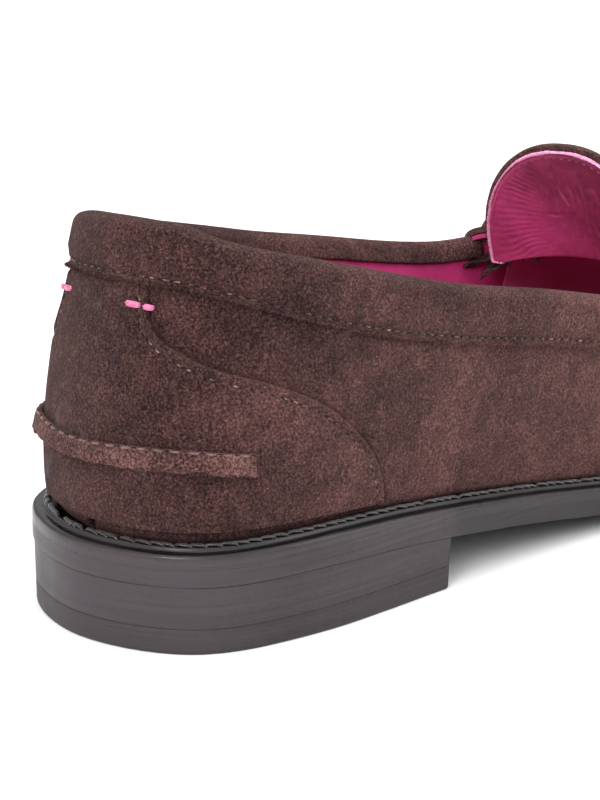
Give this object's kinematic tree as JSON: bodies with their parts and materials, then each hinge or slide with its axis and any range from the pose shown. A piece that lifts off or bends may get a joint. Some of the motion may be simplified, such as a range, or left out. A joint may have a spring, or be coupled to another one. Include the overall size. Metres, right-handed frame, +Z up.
{
  "type": "penny loafer",
  "caption": "Low slip-on shoe for the right foot, suede upper with saddle strap and standing tongue, stitched welt and low block heel.",
  "frame": {"origin": "on the ground, centre of the heel's top lift", "axes": "+X from heel to toe, +Y towards the inner (medial) side of the right foot, +Z up from the ground"},
  "size_m": [0.2614, 0.0892, 0.082],
  "materials": {
    "suede": "brushed suede nap, chocolate brown",
    "suede_trim": "brushed suede, folded",
    "lining_leather": "smooth satin leather, magenta",
    "pink_edge": "matt, pale pink",
    "sole_leather": "waxed edge, near black",
    "lift_rubber": "fine matt",
    "welt_leather": "waxed, satin, near black",
    "fibre_board": "matt",
    "cork": "matt granular",
    "steel": "plain",
    "thread": "waxed thread",
    "foam": "open-cell foam"
  },
  "bodies": {
    "shoe": {"quarter_outer": "suede", "quarter_inner": "suede", "heel_counter": "suede", "collar_band": "suede", "vamp": "suede", "apron": "suede", "saddle_strap": "suede", "throat_fringe": "suede", "heel_strip": "suede_trim", "apron_seam": "suede_trim", "quarter_lining": "lining_leather", "vamp_lining": "lining_leather", "apron_lining": "lining_leather", "saddle_lining": "lining_leather", "sock_lining": "lining_leather", "tack_outer": "pink_edge", "tack_inner": "pink_edge", "outsole": "sole_leather", "heel_block": "sole_leather", "top_lift": "lift_rubber", "welt": "welt_leather", "insole_board": "fibre_board", "waist_filler": "fibre_board", "heel_stiffener": "fibre_board", "toe_puff": "fibre_board", "cork_filler": "cork", "steel_shank": "steel", "heel_nail_1": "steel", "heel_nail_2": "steel", "heel_nail_3": "steel", "heel_nail_4": "steel", "heel_nail_5": "steel", "welt_stitching": "thread", "heel_pad": "foam"},
    "tongue": {"tongue_suede": "suede", "tongue_lining": "lining_leather", "tongue_edge": "pink_edge"}
  },
  "joints": [
    {"name": "tongue_fold", "type": "hinge", "parent": "shoe", "child": "tongue", "pos_m": [0.113, -0.0063, 0.055], "axis": [-0.0245, 0.996, -0.0862], "range_deg": [-40, 12], "stiffness_Nm_per_rad": 0.004}
  ]
}
